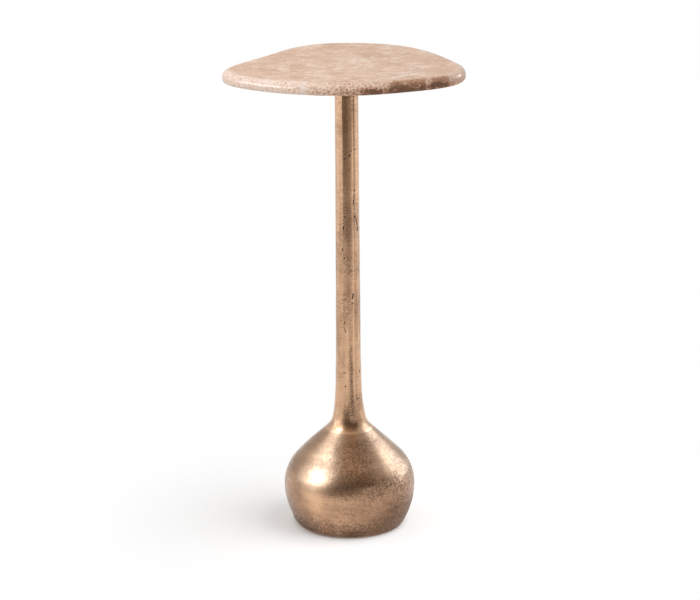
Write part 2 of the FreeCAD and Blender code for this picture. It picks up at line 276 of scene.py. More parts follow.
class Finish:
    """Node tree of a material, or of the world."""

    def __init__(self, name, owner=None):
        self.owner = owner or bpy.data.materials.new(name)
        self.owner.use_nodes = True
        self.tree = self.owner.node_tree
        self.tree.nodes.clear()

    def node(self, kind, settings=None, inputs=None, output=0):
        """Adds a node with its settings and the values or links of its sockets."""
        node = self.tree.nodes.new("ShaderNode" + kind)
        for name, value in (settings or {}).items():
            setattr(node, name, value)
        for name, value in (inputs or {}).items():
            self.feed(node.inputs[name], value)
        return Value(self, node.outputs[output] if node.outputs else None)

    def feed(self, socket, value):
        if isinstance(value, Value):
            self.tree.links.new(value.socket, socket)
        elif hasattr(socket.default_value, "__len__") and len(socket.default_value) == 4:
            socket.default_value = (*value, 1)
        else:
            socket.default_value = value

    def maths(self, operation, *values):
        return self.node("Math", {"operation": operation}, dict(enumerate(values)))

    def vector(self, operation, *values, output=0):
        return self.node("VectorMath", {"operation": operation}, dict(enumerate(values)), output)

    def blend(self, share, first, second):
        """Colour that goes from first to second as share goes from 0 to 1."""
        return self.node("Mix", {"data_type": "RGBA"}, {0: share, 6: first, 7: second}, output=2)

    def place(self):
        """Object coordinates, in metres."""
        return self.node("TexCoord", output=3)

    def scaled_place(self, size, shift):
        """Object coordinates, shifted and then divided by a size along each axis."""
        return self.vector("DIVIDE", self.vector("ADD", self.place(), shift), size)

    def cloud(self, size, detail=2.0, roughness=0.5, distortion=0.0, stretch=(1, 1, 1), shift=(0, 0, 0)):
        """Soft noise from 0 to 1, with blotches of about the given size in millimetres."""
        sizes = [size * MM * share for share in stretch]
        inputs = {"Vector": self.scaled_place(sizes, shift), "Scale": 1.0, "Detail": detail,
                  "Roughness": roughness, "Distortion": distortion}
        return self.node("TexNoise", None, inputs)

    def cells(self, size, feature="F1", shift=(0, 0, 0), warp=0.0):
        """Distances in a random net of cells of about the given size in millimetres."""
        where = self.scaled_place([size * MM] * 3, shift)
        if warp:
            wobble = self.node("TexNoise", None, {"Vector": where, "Scale": 1.3, "Detail": 2.0}, output=1)
            where = self.vector("ADD", where, self.vector("MULTIPLY", wobble, [warp] * 3))
        return self.node("TexVoronoi", {"feature": feature}, {"Vector": where, "Scale": 1.0}, "Distance")

    def streak(self, start, end, half_width, sway):
        """1 along a level line between two places in millimetres, fading towards its sides and ends."""
        start = Vector((*start, 0)) * MM
        run = Vector((*end, 0)) * MM - start
        from_start = self.vector("SUBTRACT", self.place(), start)
        along = self.vector("DOT_PRODUCT", from_start, run.normalized(), output=1)
        across = self.vector("DOT_PRODUCT", from_start, UP.cross(run).normalized(), output=1)
        ends = along.rise(0, run.length * 0.3) * along.fall(run.length * 0.7, run.length)
        return abs(across + sway).fall(half_width * MM * 0.2, half_width * MM) * ends

    def attribute(self, name):
        return self.node("Attribute", {"attribute_name": name}, output=2)

    def axis(self, letter):
        """One of the object coordinates, in metres."""
        return self.node("SeparateXYZ", None, {0: self.place()}, "XYZ".index(letter))

    def bump(self, height, distance, strength=1.0):
        return self.node("Bump", None, {"Height": height, "Distance": distance, "Strength": strength})

    def surface(self, **inputs):
        """Ends the tree in one shader whose sockets take the given values."""
        named = {name.replace("_", " ").title(): value for name, value in inputs.items()}
        named = {name.replace("Ior", "IOR"): value for name, value in named.items()}
        self.output(self.node("BsdfPrincipled", None, named))
        return self.owner

    def output(self, shader):
        kind = "OutputWorld" if isinstance(self.owner, bpy.types.World) else "OutputMaterial"
        self.node(kind, None, {"Surface": shader})


# Finishes

def stone_face(stone, grain):
    """Colour of the honed face: mottled beige with pale drifts, short veins and flecks."""
    tan = (0.70, 0.495, 0.370)
    warm = (0.61, 0.405, 0.290)
    pale = (0.82, 0.655, 0.55)
    chalk = (0.90, 0.82, 0.77)
    blotches = stone.cloud(30, detail=3.0, distortion=0.4)
    mottling = stone.cloud(8, detail=3.0, roughness=0.6, distortion=0.6, shift=(0.5, 0, 0))
    tone = blotches * 0.40 + mottling * 0.40 + grain * 0.20
    face = stone.blend(tone.rise(0.38, 0.51), warm, tan)
    face = stone.blend(tone.rise(0.50, 0.62) * 0.9, face, pale)
    drift = stone.cloud(60, detail=4.0, distortion=1.2, shift=(0.3, 0.1, 0)).rise(0.52, 0.66)
    face = stone.blend(drift * mottling.rise(0.40, 0.60) * 0.7, face, pale)
    sway = (stone.cloud(9, detail=3.0, shift=(0, 0.3, 0)) - 0.5) * 0.008
    veins = mottling.rise(0.30, 0.52)
    drawn = [stone.streak(start, end, half_width, sway) for start, end, half_width in TOP_VEINS]
    strongest = drawn[0]
    for vein in drawn[1:]:
        strongest = strongest.at_least(vein)
    face = stone.blend(strongest * veins * 0.6, face, chalk)
    flecked = stone.cloud(14, shift=(0, 0.5, 0)).rise(0.48, 0.60)
    fleck = stone.cells(4.5, shift=(0.1, 0, 0)).fall(0.10, 0.32) * flecked
    return stone.blend(fleck * 0.4, face, chalk)


def stone_rim(stone, grain, inset):
    """Colour of the polished rim: pale net round sandy cells on the left, brown and smoky to the right."""
    pale = (0.84, 0.685, 0.595)
    sand = (0.69, 0.470, 0.345)
    blush = (0.78, 0.560, 0.435)
    rust = (0.66, 0.385, 0.225)
    brown = (0.44, 0.240, 0.150)
    umber = (0.180, 0.092, 0.056)
    calcite = (0.80, 0.745, 0.725)
    across = stone.axis("X")
    depth = stone.axis("Y")
    height = stone.axis("Z")

    patches = stone.cloud(22, detail=3.0, shift=(0, 0.2, 0)) - 0.5
    rightward = across.rise(-0.085, 0.04)
    low = height.fall(0.5985, 0.6075)
    ground = rightward * (low * 0.42 + 0.24) - across.rise(0.112, 0.138) * 0.40 + 0.21
    stretches = [across.rise((start - 3) * MM, (start + 4) * MM) * across.fall((end - 4) * MM, (end + 3) * MM)
                 for start, end in SMOKY_STRETCHES]
    wisps = stone.cloud(7, detail=4.0, roughness=0.62, stretch=(1.3, 1.3, 0.8)).rise(0.28, 0.52)
    front = depth.fall(-0.03, 0.01)
    low_first = height.fall(0.600, 0.6065).at_least(across.rise(0.045, 0.06))
    outer = (inset + (wisps - 0.5) * 0.004).fall(0.0035, 0.0095)
    smoky = sum(stretches) * wisps * front * low_first * outer

    ragged = (stone.cloud(1.7, detail=2.0, shift=(0, 0, 0.3)) - 0.5) * 0.22
    net = (stone.cells(4.6, "DISTANCE_TO_EDGE", warp=0.9) + ragged).fall(0.02, 0.15)
    shade = stone.cloud(3.2, detail=3.0, roughness=0.65, shift=(0.6, 0, 0)) - 0.5
    netted = across.rise(-0.055, -0.015) * across.fall(0.035, 0.065)
    tone = ground + patches * 0.45 + shade * (1.15 - smoky * 0.25)
    tone = tone - net * (0.27 + netted * 0.18 - smoky * 0.16)
    tone = tone + smoky * 0.42
    lightest = stone.blend(rightward * 0.6 + across.rise(0.10, 0.135) * 0.4, pale, blush)
    colour = stone.blend(tone.rise(0.02, 0.38), lightest, sand)
    colour = stone.blend(tone.rise(0.32, 0.66), colour, brown)
    colour = stone.blend(tone.rise(0.64, 1.10), colour, umber)

    dotted = stone.cloud(15, shift=(0, 0.7, 0)).rise(0.44, 0.55)
    dots = stone.cells(4.2, shift=(0.2, 0, 0)).fall(0.10, 0.34) * dotted
    colour = stone.blend(dots * across.fall(-0.06, 0.0) * 0.75, colour, rust)
    sway = stone.cloud(8, detail=3.0, shift=(0.9, 0, 0)) * 0.012
    streak = (across + sway).rise(-0.052, -0.049) * (across + sway).fall(-0.045, -0.041) * front
    return stone.blend(streak * grain.rise(0.40, 0.60) * 0.5, colour, calcite)


def polished_stone():
    """Beige limestone, honed on top, with a polished rim of brown spots in a pale ground."""
    stone = Finish("polished_stone")
    grain = stone.cloud(3.4, detail=4.0, roughness=0.65)
    inset = stone.attribute("inset")
    fringe = stone.cloud(24, detail=3.0, shift=(0, 0, 0.4)) * 0.010 + stone.cloud(3.0, detail=2.0) * 0.012
    rim = (inset - fringe).fall(-0.006, 0.0)
    colour = stone.blend(rim, stone_face(stone, grain), stone_rim(stone, grain, inset))
    polish = inset.fall(0.006, 0.012) * stone.axis("Z").rise(0.598, 0.604)
    roughness = 0.55 - polish * 0.2 + (grain - 0.5) * 0.12
    return stone.surface(base_color=colour, roughness=roughness, specular_ior_level=0.06,
                         coat_weight=polish * 0.34, coat_roughness=0.08, coat_ior=1.5,
                         normal=stone.bump(grain, 0.03 * MM, 0.35))


def cast_brass(name, matting, streaks, dulling_and_sheen, crowding, grain_depth):
    """Antiqued brass casting: worm-like dark speckle, stains and painted reflections, fine grain and
    blackened pits.
    """
    brass = Finish(name)
    bright = (0.74, 0.455, 0.277)
    tarnish = (0.42, 0.243, 0.145)
    umber = (0.105, 0.055, 0.031)
    black = (0.012, 0.009, 0.008)

    stain = brass.cloud(34, detail=4.0, roughness=0.6, distortion=0.5)
    drawn = brass.cloud(9, detail=3.0, stretch=streaks, shift=(0.2, 0, 0))
    brushed = brass.cloud(1.6, detail=2.0, stretch=(12, 12, 1), shift=(0, 0, 0.8))
    # Layer of darker stains and brighter painted reflections, from the castings' tables
    stains_and_sheen = brass.attribute("stain")
    # Darkness of the metal: random stains and tarnish, less where painted sheen is added: the brighter stain
    # rows and the bulb's lightened edge and seam
    dull_and_sheen = stain * 0.6 + drawn * 0.4 + (brushed - 0.5) * 0.22 + stains_and_sheen + dulling_and_sheen(brass)
    metal = brass.blend(dull_and_sheen.rise(0.35, 0.75), bright, tarnish)
    oxide = dull_and_sheen.rise(0.70, 1.10)
    metal = brass.blend(oxide * 0.55, metal, umber)

    worms = abs(brass.cloud(2.5, detail=1.8, distortion=0.5) - 0.5).fall(0.03, 0.11)
    breaks = brass.cloud(3.8, detail=2.0, shift=(0.3, 0.3, 0)).rise(0.36, 0.52)
    patches = brass.cloud(30, detail=3.0, shift=(0.1, 0.6, 0.2)) - 0.5
    crowd = (patches * 0.9 + crowding(brass) + stains_and_sheen * 0.9).rise(0.0, 0.7)
    speckle = worms * breaks * crowd
    metal = brass.blend(speckle * 0.75, metal, umber)

    dotted = brass.cloud(20, shift=(0, 0.9, 0)).rise(0.44, 0.56)
    dots = brass.cells(5.0, shift=(0.4, 0, 0)).fall(0.07, 0.14) * dotted
    pricked = brass.cloud(11, shift=(0.7, 0, 0)).rise(0.46, 0.58)
    pinholes = brass.cells(2.3, shift=(0, 0.4, 0)).fall(0.10, 0.20) * pricked
    dots = dots.at_least(pinholes * 0.6)
    pits = brass.attribute("patina")
    metal = brass.blend((dots * 0.8).at_least(pits), metal, black)

    grain = brass.cloud(1.7, detail=2.5, roughness=0.55)
    roughness = matting(brass) + (stain - 0.5) * 0.10 + speckle * 0.12 + oxide * 0.12 + pits * 0.3
    relief = grain * (0.35 + crowd * 0.65) + brushed * 0.12 - speckle * 0.30 - dots * 0.3
    return brass.surface(base_color=metal, metallic=1 - (oxide * 0.12).at_least(pits), roughness=roughness,
                         coat_weight=(1 - pits.at_least(oxide)) * 0.32, coat_roughness=0.24, coat_ior=1.5,
                         normal=brass.bump(relief, grain_depth, 1.0))


def bulb_matting(brass):
    """Roughness of the bulb: a little smoother at the seam."""
    return 0.30 - brass.axis("Z").rise(0.122, 0.132) * 0.02


def stem_matting(brass):
    """Roughness of the stem: polished above, as matt as the bulb at the seam."""
    return 0.21 + brass.axis("Z").fall(0.138, 0.170) * 0.07


def bulb_dulling_and_sheen(brass):
    """Tarnish of the bulb: most at the foot and the lower right; the very edge and the seam are lightened as
    a painted highlight.
    """
    height = brass.axis("Z")
    across = brass.axis("X")
    foot = height.fall(0.004, 0.030) * 0.15
    right = across.rise(0.0, 0.065) * height.fall(0.034, 0.062) * 0.40
    heel = abs(across).rise(0.036, 0.058) * height.fall(0.014, 0.030) * 0.06
    # Painted highlight: the top of the bulb at the seam is lightened, like a lit rim
    seam = height.rise(0.1285, 0.1300) * 0.25
    # Painted highlight: the bottom few millimetres are lightened, like a thin lit edge
    return foot + right + heel + 0.17 - seam - height.fall(0.0022, 0.0034) * 0.60


def bulb_crowding(brass):
    """Speckle of the bulb: thick on the shoulder's front right and at the foot, thin on the left."""
    height = brass.axis("Z")
    across = brass.axis("X")
    glossy = across.rise(0.014, 0.036) * height.rise(0.076, 0.090) * 0.85
    glossy = glossy.at_least(height.rise(0.116, 0.130))
    shoulder = across.rise(-0.052, 0.002) * height.rise(0.050, 0.072) * (1 - glossy) * 0.42
    right = across.rise(0.0, 0.06) * height.fall(0.060, 0.080) * 0.16
    foot = height.fall(0.010, 0.034) * 0.62
    return shoulder + right + foot + 0.24 - height.rise(0.117, 0.130) * 0.18


def stem_dulling(brass):
    """Tarnish of the stem: most in the middle of its height, and on the right above the neck."""
    height = brass.axis("Z")
    middle = height.fall(0.36, 0.48) * height.rise(0.17, 0.24) * 0.13
    neck = brass.axis("X").rise(0.001, 0.009) * height.fall(0.168, 0.190) * height.rise(0.136, 0.150) * 0.16
    return middle + neck - 0.06


def stem_crowding(brass):
    """Speckle of the stem: even, with a little more at both ends and little at the neck."""
    height = brass.axis("Z")
    ends = height.fall(0.18, 0.24) * 0.06 + height.rise(0.40, 0.52) * 0.08
    return ends + 0.23 - height.fall(0.146, 0.160) * 0.20


def painted_steel():
    """Black powder coat with its fine orange peel."""
    paint = Finish("painted_steel")
    peel = paint.cloud(1.4, detail=2.0)
    dust = paint.cloud(18, detail=4.0).rise(0.45, 0.75)
    colour = paint.blend(dust, (0.020, 0.020, 0.021), (0.042, 0.041, 0.040))
    return paint.surface(base_color=colour, roughness=0.42 + peel * 0.16,
                         normal=paint.bump(peel, 0.05 * MM, 0.6))


def zinc_plate():
    """Zinc-plated steel with faint yellow passivation and turning marks."""
    zinc = Finish("zinc_plate")
    tint = zinc.cloud(7, detail=3.0)
    marks = zinc.cloud(1.2, detail=2.0, stretch=(4, 4, 0.25))
    colour = zinc.blend(tint.rise(0.40, 0.65), (0.56, 0.57, 0.58), (0.63, 0.60, 0.50))
    return zinc.surface(base_color=colour, metallic=1.0, roughness=0.26 + marks * 0.2,
                        normal=zinc.bump(marks, 0.02 * MM, 0.5))


def turned_brass():
    """Plain yellow brass with turning marks."""
    brass = Finish("turned_brass")
    marks = brass.cloud(1.0, detail=2.0, stretch=(4, 4, 0.25))
    colour = brass.blend(brass.cloud(6, detail=3.0), (0.66, 0.46, 0.18), (0.74, 0.55, 0.26))
    return brass.surface(base_color=colour, metallic=1.0, roughness=0.24 + marks * 0.2)


def sand_cast_iron():
    """Dark cast iron with the grain of its sand mould."""
    iron = Finish("sand_cast_iron")
    sand = iron.cloud(1.8, detail=4.0, roughness=0.7)
    rust = iron.cloud(14, detail=4.0).rise(0.52, 0.72)
    colour = iron.blend(rust * 0.6, (0.075, 0.072, 0.070), (0.16, 0.075, 0.038))
    return iron.surface(base_color=colour, metallic=0.55, roughness=0.62 + sand * 0.2,
                        normal=iron.bump(sand, 0.35 * MM, 0.8))


def black_rubber():
    """Matt black rubber sheet with a fine cloth print."""
    rubber = Finish("black_rubber")
    print_marks = rubber.cloud(0.9, detail=2.0)
    colour = rubber.blend(rubber.cloud(12, detail=3.0), (0.018, 0.018, 0.018), (0.035, 0.034, 0.033))
    return rubber.surface(base_color=colour, roughness=0.70 + print_marks * 0.2,
                          normal=rubber.bump(print_marks, 0.06 * MM, 0.6))


def pressed_felt():
    """Dark grey-brown felt of matted fibres."""
    felt = Finish("pressed_felt")
    fibres = felt.cloud(1.1, detail=5.0, roughness=0.75, distortion=2.2, stretch=(1, 1, 3))
    tufts = felt.cloud(4.5, detail=3.0, distortion=1.0)
    colour = felt.blend(fibres.rise(0.32, 0.68), (0.022, 0.019, 0.017), (0.085, 0.076, 0.068))
    colour = felt.blend(tufts.rise(0.55, 0.75) * 0.35, colour, (0.12, 0.108, 0.096))
    return felt.surface(base_color=colour, roughness=0.95, sheen_weight=0.35, sheen_roughness=0.6,
                        normal=felt.bump(fibres + tufts, 0.5 * MM, 0.9))


# Pieces

def cad_copy(node):
    """Mesh of a CAD piece with its loose triangles joined."""
    mesh = bmesh.new()
    mesh.from_mesh(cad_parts[node].data)
    bmesh.ops.remove_doubles(mesh, verts=mesh.verts, dist=MERGE)
    return mesh


def half_section(node):
    """Closed outline of a turned CAD piece, cut through its axis, on the side of +X."""
    mesh = cad_copy(node)
    geometry = mesh.verts[:] + mesh.edges[:] + mesh.faces[:]
    bmesh.ops.bisect_plane(mesh, geom=geometry, dist=MERGE, plane_co=(0, 0, 0), plane_no=(0, 1, 0),
                           clear_inner=True, clear_outer=True)
    other_side = [vert for vert in mesh.verts if vert.co.x < 0]
    bmesh.ops.delete(mesh, geom=other_side, context="VERTS")
    bmesh.ops.remove_doubles(mesh, verts=mesh.verts, dist=MERGE)
    return mesh


def outer_edges(mesh):
    """Edges of a half section that can be seen from outside the two castings."""
    solid = cad_copy("stem")
    solid.from_mesh(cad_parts["bulb"].data)
    skin = BVHTree.FromBMesh(solid)
    solid.free()
    seen = []
    for edge in mesh.edges:
        middle = (edge.verts[0].co + edge.verts[1].co) / 2
        upright = edge.verts[0].co - edge.verts[1].co
        if abs(upright.z) < MERGE:
            continue
        far = Vector((1, 0.01 * MM, middle.z))
        place = skin.ray_cast(far, Vector((-1, 0, 0)))[0]
        if place is not None and place.x - middle.x < MM:
            seen.append(edge)
    return seen


def casting_skin(node, step, sides):
    """Turns a CAD half section with a fine, smooth outside; marks the outside in a layer."""
    mesh = half_section(node)
    outside = mesh.verts.layers.float.new("outside")
    divisions = {}
    for edge in outer_edges(mesh):
        cuts = max(1, round(edge.calc_length() / step) - 1)
        divisions.setdefault(cuts, []).append(edge)
        for vert in edge.verts:
            vert[outside] = 1.0
    for cuts, edges in divisions.items():
        bmesh.ops.subdivide_edges(mesh, edges=edges, cuts=cuts)
    skin = [vert for vert in mesh.verts if vert[outside]]
    ends = (min(vert.co.z for vert in skin), max(vert.co.z for vert in skin))
    inner = [vert for vert in skin if vert.co.z not in ends and vert.co.z > SMOOTH_ABOVE]
    for _ in range(SKIN_SMOOTHING):
        bmesh.ops.smooth_vert(mesh, verts=inner, factor=0.5, use_axis_x=True, use_axis_z=True)
    bmesh.ops.spin(mesh, geom=mesh.verts[:] + mesh.edges[:], cent=(0, 0, 0), axis=UP, angle=2 * math.pi,
                   steps=sides, use_merge=True)
    bmesh.ops.remove_doubles(mesh, verts=mesh.verts, dist=MERGE)
    bmesh.ops.recalc_face_normals(mesh, faces=mesh.faces)
    return mesh, outside


def outward(place):
    """Level direction from the axis to a place."""
    return Vector((place.x, place.y, 0)).normalized()


def smooth_share(value, start, end):
    """Smooth step from 0 at start to 1 at end."""
    share = min(1, max(0, (value - start) / (end - start)))
    return share * share * (3 - 2 * share)


def shared_unevenness(place):
    """How far the hand-finished castings stand out at a place, the same on both sides of their seam."""
    broad = noise.noise(place / BROAD_WAVE) * BROAD_RISE
    small = noise.noise(place / SMALL_WAVE + Vector((7, 3, 1))) * SMALL_RISE
    return broad + small


def foot_offset(place):
    """How far the foot sits to the right of the stem at a place's height."""
    return Vector((FOOT_OFFSET * (1 - smooth_share(place.z, *FOOT_OFFSET_HEIGHTS)), 0, 0))


def filed_flats(place):
    """How far the stem stands out along the ridges and grooves between its filed flats."""
    turn = math.degrees(math.atan2(place.x, -place.y))
    rise = 0
    for middle, height, left, right, low, high in STEM_RIDGES:
        sway = noise.noise(Vector((middle, 0, place.z / (75 * MM)))) * RIDGE_SWAY
        away = (turn - middle - sway + 180) % 360 - 180
        share = max(0, 1 - abs(away) / (left if away < 0 else right))
        rise += height * MM * share * share * smooth_share(place.z, low * MM, high * MM)
    return rise


def stem_swell(place):
    """How much fuller the finished stem is than its plain taper at a place's height."""
    return sum(amount * MM * math.exp(-((place.z / MM - height) / spread) ** 2)
               for height, amount, spread in STEM_SWELLS)


def soft_spots(place, rows):
    """Sum at a place of soft spots, given as height, turn, amount, and spread in height and in turn."""
    turn = math.degrees(math.atan2(place.x, -place.y))
    total = 0
    for height, middle, amount, spread, reach in rows:
        climb = (place.z / MM - height) / spread
        away = ((turn - middle + 180) % 360 - 180) / reach
        total += amount * math.exp(-climb * climb - away * away)
    return total


def on_skin(skin, height, turn):
    """Place on a casting's outside, at a height and a turn from the front, in millimetres and degrees."""
    way = Vector((math.sin(math.radians(turn)), -math.cos(math.radians(turn)), 0))
    far = way + UP * height * MM
    return skin.ray_cast(far, -way)[0]


def place_tree(places):
    """Tree that finds which of some places are near another."""
    tree = kdtree.KDTree(len(places))
    for index, place in enumerate(places):
        tree.insert(place, index)
    tree.balance()
    return tree


def sink_scar(mesh, tree, outside, patina, middle, width, length, lean):
    """Presses a pit or a short scar into a casting, and blackens it."""
    side = UP.cross(outward(middle))
    along = UP * math.cos(math.radians(lean)) + side * math.sin(math.radians(lean))
    half_run = max(0, (length - width) / 2) * MM
    reach = width * 0.75 * MM
    for place, index, _ in tree.find_range(middle, half_run + reach):
        vert = mesh.verts[index]
        if not vert[outside]:
            continue
        offset = place - middle
        run = max(-half_run, min(half_run, offset.dot(along)))
        share = 1 - (offset - along * run).length / reach
        if share > 0:
            vert.co -= outward(place) * width * PIT_STEEPNESS * MM * smooth_share(share, 0, 1)
            vert[patina] = max(vert[patina], smooth_share(share, 0, 0.45))


def raise_blister(mesh, tree, outside, middle, width):
    """Raises a small round blister on a casting."""
    for place, index, _ in tree.find_range(middle, width / 2 * MM):
        vert = mesh.verts[index]
        if vert[outside]:
            share = 1 - (place - middle).length / (width / 2 * MM)
            vert.co += outward(place) * width * BLISTER_STEEPNESS * MM * smooth_share(share, 0, 1)


def divide_near(mesh, outside, places, step):
    """Divides the outer faces near some places, given with how far each reaches."""
    mesh.faces.ensure_lookup_table()
    tree = place_tree([face.calc_center_median() for face in mesh.faces])
    near = {}
    for place, reach in places:
        for _, index, _ in tree.find_range(place, reach + step):
            face = mesh.faces[index]
            if all(vert[outside] for vert in face.verts):
                near.update(dict.fromkeys(face.edges))
    bmesh.ops.subdivide_edges(mesh, edges=list(near), cuts=PIT_CUTS, smooth=1.0, use_grid_fill=True)


def scar_casting(mesh, outside, step, scars, blisters=()):
    """Presses scars and raises blisters on a casting, given as rows like those of its tables."""
    skin = BVHTree.FromBMesh(mesh)
    middles = [on_skin(skin, height, turn) for height, turn, *_ in scars]
    domes = [on_skin(skin, height, turn) for height, turn, _ in blisters]
    reaches = [max(width, length) / 2 * MM for _, _, width, length, _ in scars]
    spreads = [width / 2 * MM for _, _, width in blisters]
    divide_near(mesh, outside, list(zip(middles + domes, reaches + spreads)), step)
    mesh.verts.ensure_lookup_table()
    patina = mesh.verts.layers.float.new("patina")
    tree = place_tree([vert.co for vert in mesh.verts])
    for middle, (_, _, width) in zip(domes, blisters):
        raise_blister(mesh, tree, outside, middle, width)
    for middle, (_, _, width, length, lean) in zip(middles, scars):
        sink_scar(mesh, tree, outside, patina, middle, width, length, lean)


def ladder_scars(seed, turn, low, high, step):
    """Uneven column of short scars, one above the other, that grow towards its foot."""
    draw = random.Random(seed)
    scars = []
    for rung in range(round((high - low) / step)):
        growth = 1 - rung * step / (high - low)
        height = low + step * (rung + draw.uniform(-0.25, 0.25))
        width = draw.uniform(0.30, 0.45) + growth * 0.25
        length = draw.uniform(1.2, 2.6) + growth * 1.8
        scars.append((height, turn + draw.uniform(-4, 4), width, length, draw.uniform(70, 115)))
    return scars


def stray_pits(seed, count, low, high):
    """Small pits on the sides and the back of a casting."""
    draw = random.Random(seed)
    return [(draw.uniform(low, high), draw.uniform(75, 285), draw.uniform(0.8, 1.7), draw.uniform(0.8, 4.0),
             draw.uniform(0, 90)) for _ in range(count)]


def show(mesh, name, material, node, smooth_angle=35):
    """Makes a finished mesh a piece that stands for a CAD node."""
    data = bpy.data.meshes.new(name)
    mesh.to_mesh(data)
    mesh.free()
    data.materials.append(material)
    data.shade_smooth()
    data.set_sharp_from_angle(angle=math.radians(smooth_angle))
    piece = bpy.data.objects.new(name, data)
    bpy.context.scene.collection.objects.link(piece)
    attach(piece, "root")
    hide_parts(node)
    return piece


def cast_stem():
    mesh, outside = casting_skin("stem", STEM_STEP, STEM_SIDES)
    # Layer of darker stains and brighter painted reflections, from the stem's table
    stain = mesh.verts.layers.float.new("stain")
    for vert in mesh.verts:
        if vert[outside]:
            vert[stain] = soft_spots(vert.co, STEM_STAINS_AND_SHEEN)
            rise = shared_unevenness(vert.co) + filed_flats(vert.co) + stem_swell(vert.co)
            vert.co += outward(vert.co) * rise + foot_offset(vert.co)
    scars = list(STEM_SCARS) + ladder_scars(**LADDER_SCAR) + stray_pits(**STRAY_STEM_PITS)
    scar_casting(mesh, outside, STEM_STEP, scars)
    brass = cast_brass("stem_brass", stem_matting, (0.4, 0.4, 16), stem_dulling, stem_crowding, 0.08 * MM)
    return show(mesh, "cast_stem", brass, "stem")


def cast_bulb():
    mesh, outside = casting_skin("bulb", BULB_STEP, BULB_SIDES)
    # Layer of darker stains and brighter painted reflections, from the bulb's table
    stain = mesh.verts.layers.float.new("stain")
    for vert in mesh.verts:
        if vert[outside]:
            vert[stain] = soft_spots(vert.co, BULB_STAINS_AND_SHEEN)
            rise = shared_unevenness(vert.co) + soft_spots(vert.co, BULB_SWELLS) * MM
            vert.co += outward(vert.co) * rise + foot_offset(vert.co)
    scars = list(BULB_SCARS) + stray_pits(**STRAY_BULB_PITS)
    scar_casting(mesh, outside, BULB_STEP, scars, BULB_BLISTERS)
    brass = cast_brass("bulb_brass", bulb_matting, (5, 5, 1), bulb_dulling_and_sheen, bulb_crowding, 0.13 * MM)
    return show(mesh, "cast_bulb", brass, "bulb")


def slab_side(node, height, reach):
    """Ring of points where a level cut meets the side of a CAD piece."""
    solid = cad_copy(node)
    skin = BVHTree.FromBMesh(solid)
    solid.free()
    mesh = bmesh.new()
    bmesh.ops.create_circle(mesh, cap_ends=True, segments=TOP_SIDES, radius=reach)
    for vert in mesh.verts:
        way = outward(vert.co)
        vert.co = skin.ray_cast(way * reach + UP * height, -way)[0]
    for _ in range(4):
        bmesh.ops.smooth_vert(mesh, verts=mesh.verts, factor=0.5, use_axis_x=True, use_axis_y=True)
    return mesh


def thicken(mesh, thickness):
    """Raises a flat face into a slab."""
    made = bmesh.ops.extrude_face_region(mesh, geom=mesh.faces[:])
    raised = [part for part in made["geom"] if isinstance(part, bmesh.types.BMVert)]
    bmesh.ops.translate(mesh, vec=UP * thickness, verts=raised)
    bmesh.ops.recalc_face_normals(mesh, faces=mesh.faces)


def round_border(mesh, height, rounding, segments):
    """Rounds the border of a slab's flat face at a height."""
    border = [edge for edge in mesh.edges if all(abs(vert.co.z - height) < MERGE for vert in edge.verts)]
    bmesh.ops.bevel(mesh, geom=border, offset=rounding, segments=segments, profile=0.5, affect="EDGES",
                    material=-1)


def flat_faces(mesh):
    """The flat faces of a slab, which are not divided yet."""
    return [face for face in mesh.faces if len(face.verts) > 4]


def face_rings(mesh, face, shares):
    """Divides a flat face into rings that shrink by the given shares, round a middle point."""
    for share in shares:
        made = bmesh.ops.extrude_face_region(mesh, geom=[face])
        bmesh.ops.delete(mesh, geom=[face], context="FACES_ONLY")
        face = next(part for part in made["geom"] if isinstance(part, bmesh.types.BMFace))
        bmesh.ops.scale(mesh, vec=(share, share, 1), verts=face.verts)
    bmesh.ops.poke(mesh, faces=[face])


def pebble_top():
    low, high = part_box("stone_top")
    reach = max(abs(value) for value in (low.x, low.y, high.x, high.y)) * 1.2
    mesh = slab_side("stone_top", low.z + TOP_LOWER_ROUND + 0.5 * MM, reach)
    side = [vert.co.copy() for vert in mesh.verts]
    bmesh.ops.translate(mesh, vec=UP * (low.z - side[0].z), verts=mesh.verts)
    thicken(mesh, high.z - low.z - MERGE)
    round_border(mesh, high.z - MERGE, TOP_UPPER_ROUND, TOP_UPPER_SEGMENTS)
    round_border(mesh, low.z, TOP_LOWER_ROUND, TOP_LOWER_SEGMENTS)
    for face in flat_faces(mesh):
        for _ in range(TOP_BORDER_RINGS):
            bmesh.ops.inset_region(mesh, faces=[face], thickness=TOP_BORDER_STEP, use_even_offset=True)
        face_rings(mesh, face, TOP_FACE_RINGS)
    tree = place_tree([Vector((place.x, place.y, 0)) for place in side])
    inset = mesh.verts.layers.float.new("inset")
    mesh.normal_update()
    for vert in mesh.verts:
        vert[inset] = tree.find((vert.co.x, vert.co.y, 0))[2]
        wave = (noise.noise(vert.co / TOP_WAVE_LENGTH) + 1) / 2 * TOP_WAVINESS
        if vert[inset] < TOP_LOWER_ROUND:
            vert.co -= vert.normal * wave * (1 - vert[inset] / TOP_LOWER_ROUND)
    return show(mesh, "pebble_top", polished_stone(), "stone_top")


def felt_disc():
    """Felt under the base cover, with a soft lower edge and a slightly uneven underside."""
    low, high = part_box("felt_pad")
    radius = (high.x - low.x) / 2
    thickness = high.z - low.z
    mesh = bmesh.new()
    bmesh.ops.create_circle(mesh, cap_ends=True, segments=FELT_SIDES, radius=radius)
    bmesh.ops.translate(mesh, vec=UP * low.z, verts=mesh.verts)
    thicken(mesh, thickness)
    round_border(mesh, low.z, thickness * FELT_EDGE_SHARE, FELT_EDGE_SEGMENTS)
    for face in flat_faces(mesh):
        face_rings(mesh, face, FELT_FACE_RINGS)
    for vert in mesh.verts:
        if vert.co.z < high.z - MERGE:
            vert.co -= outward(vert.co) * (noise.noise(vert.co / (5 * MM)) + 1) * FELT_UNEVENNESS
    piece = show(mesh, "felt_disc", pressed_felt(), "felt_pad", 60)


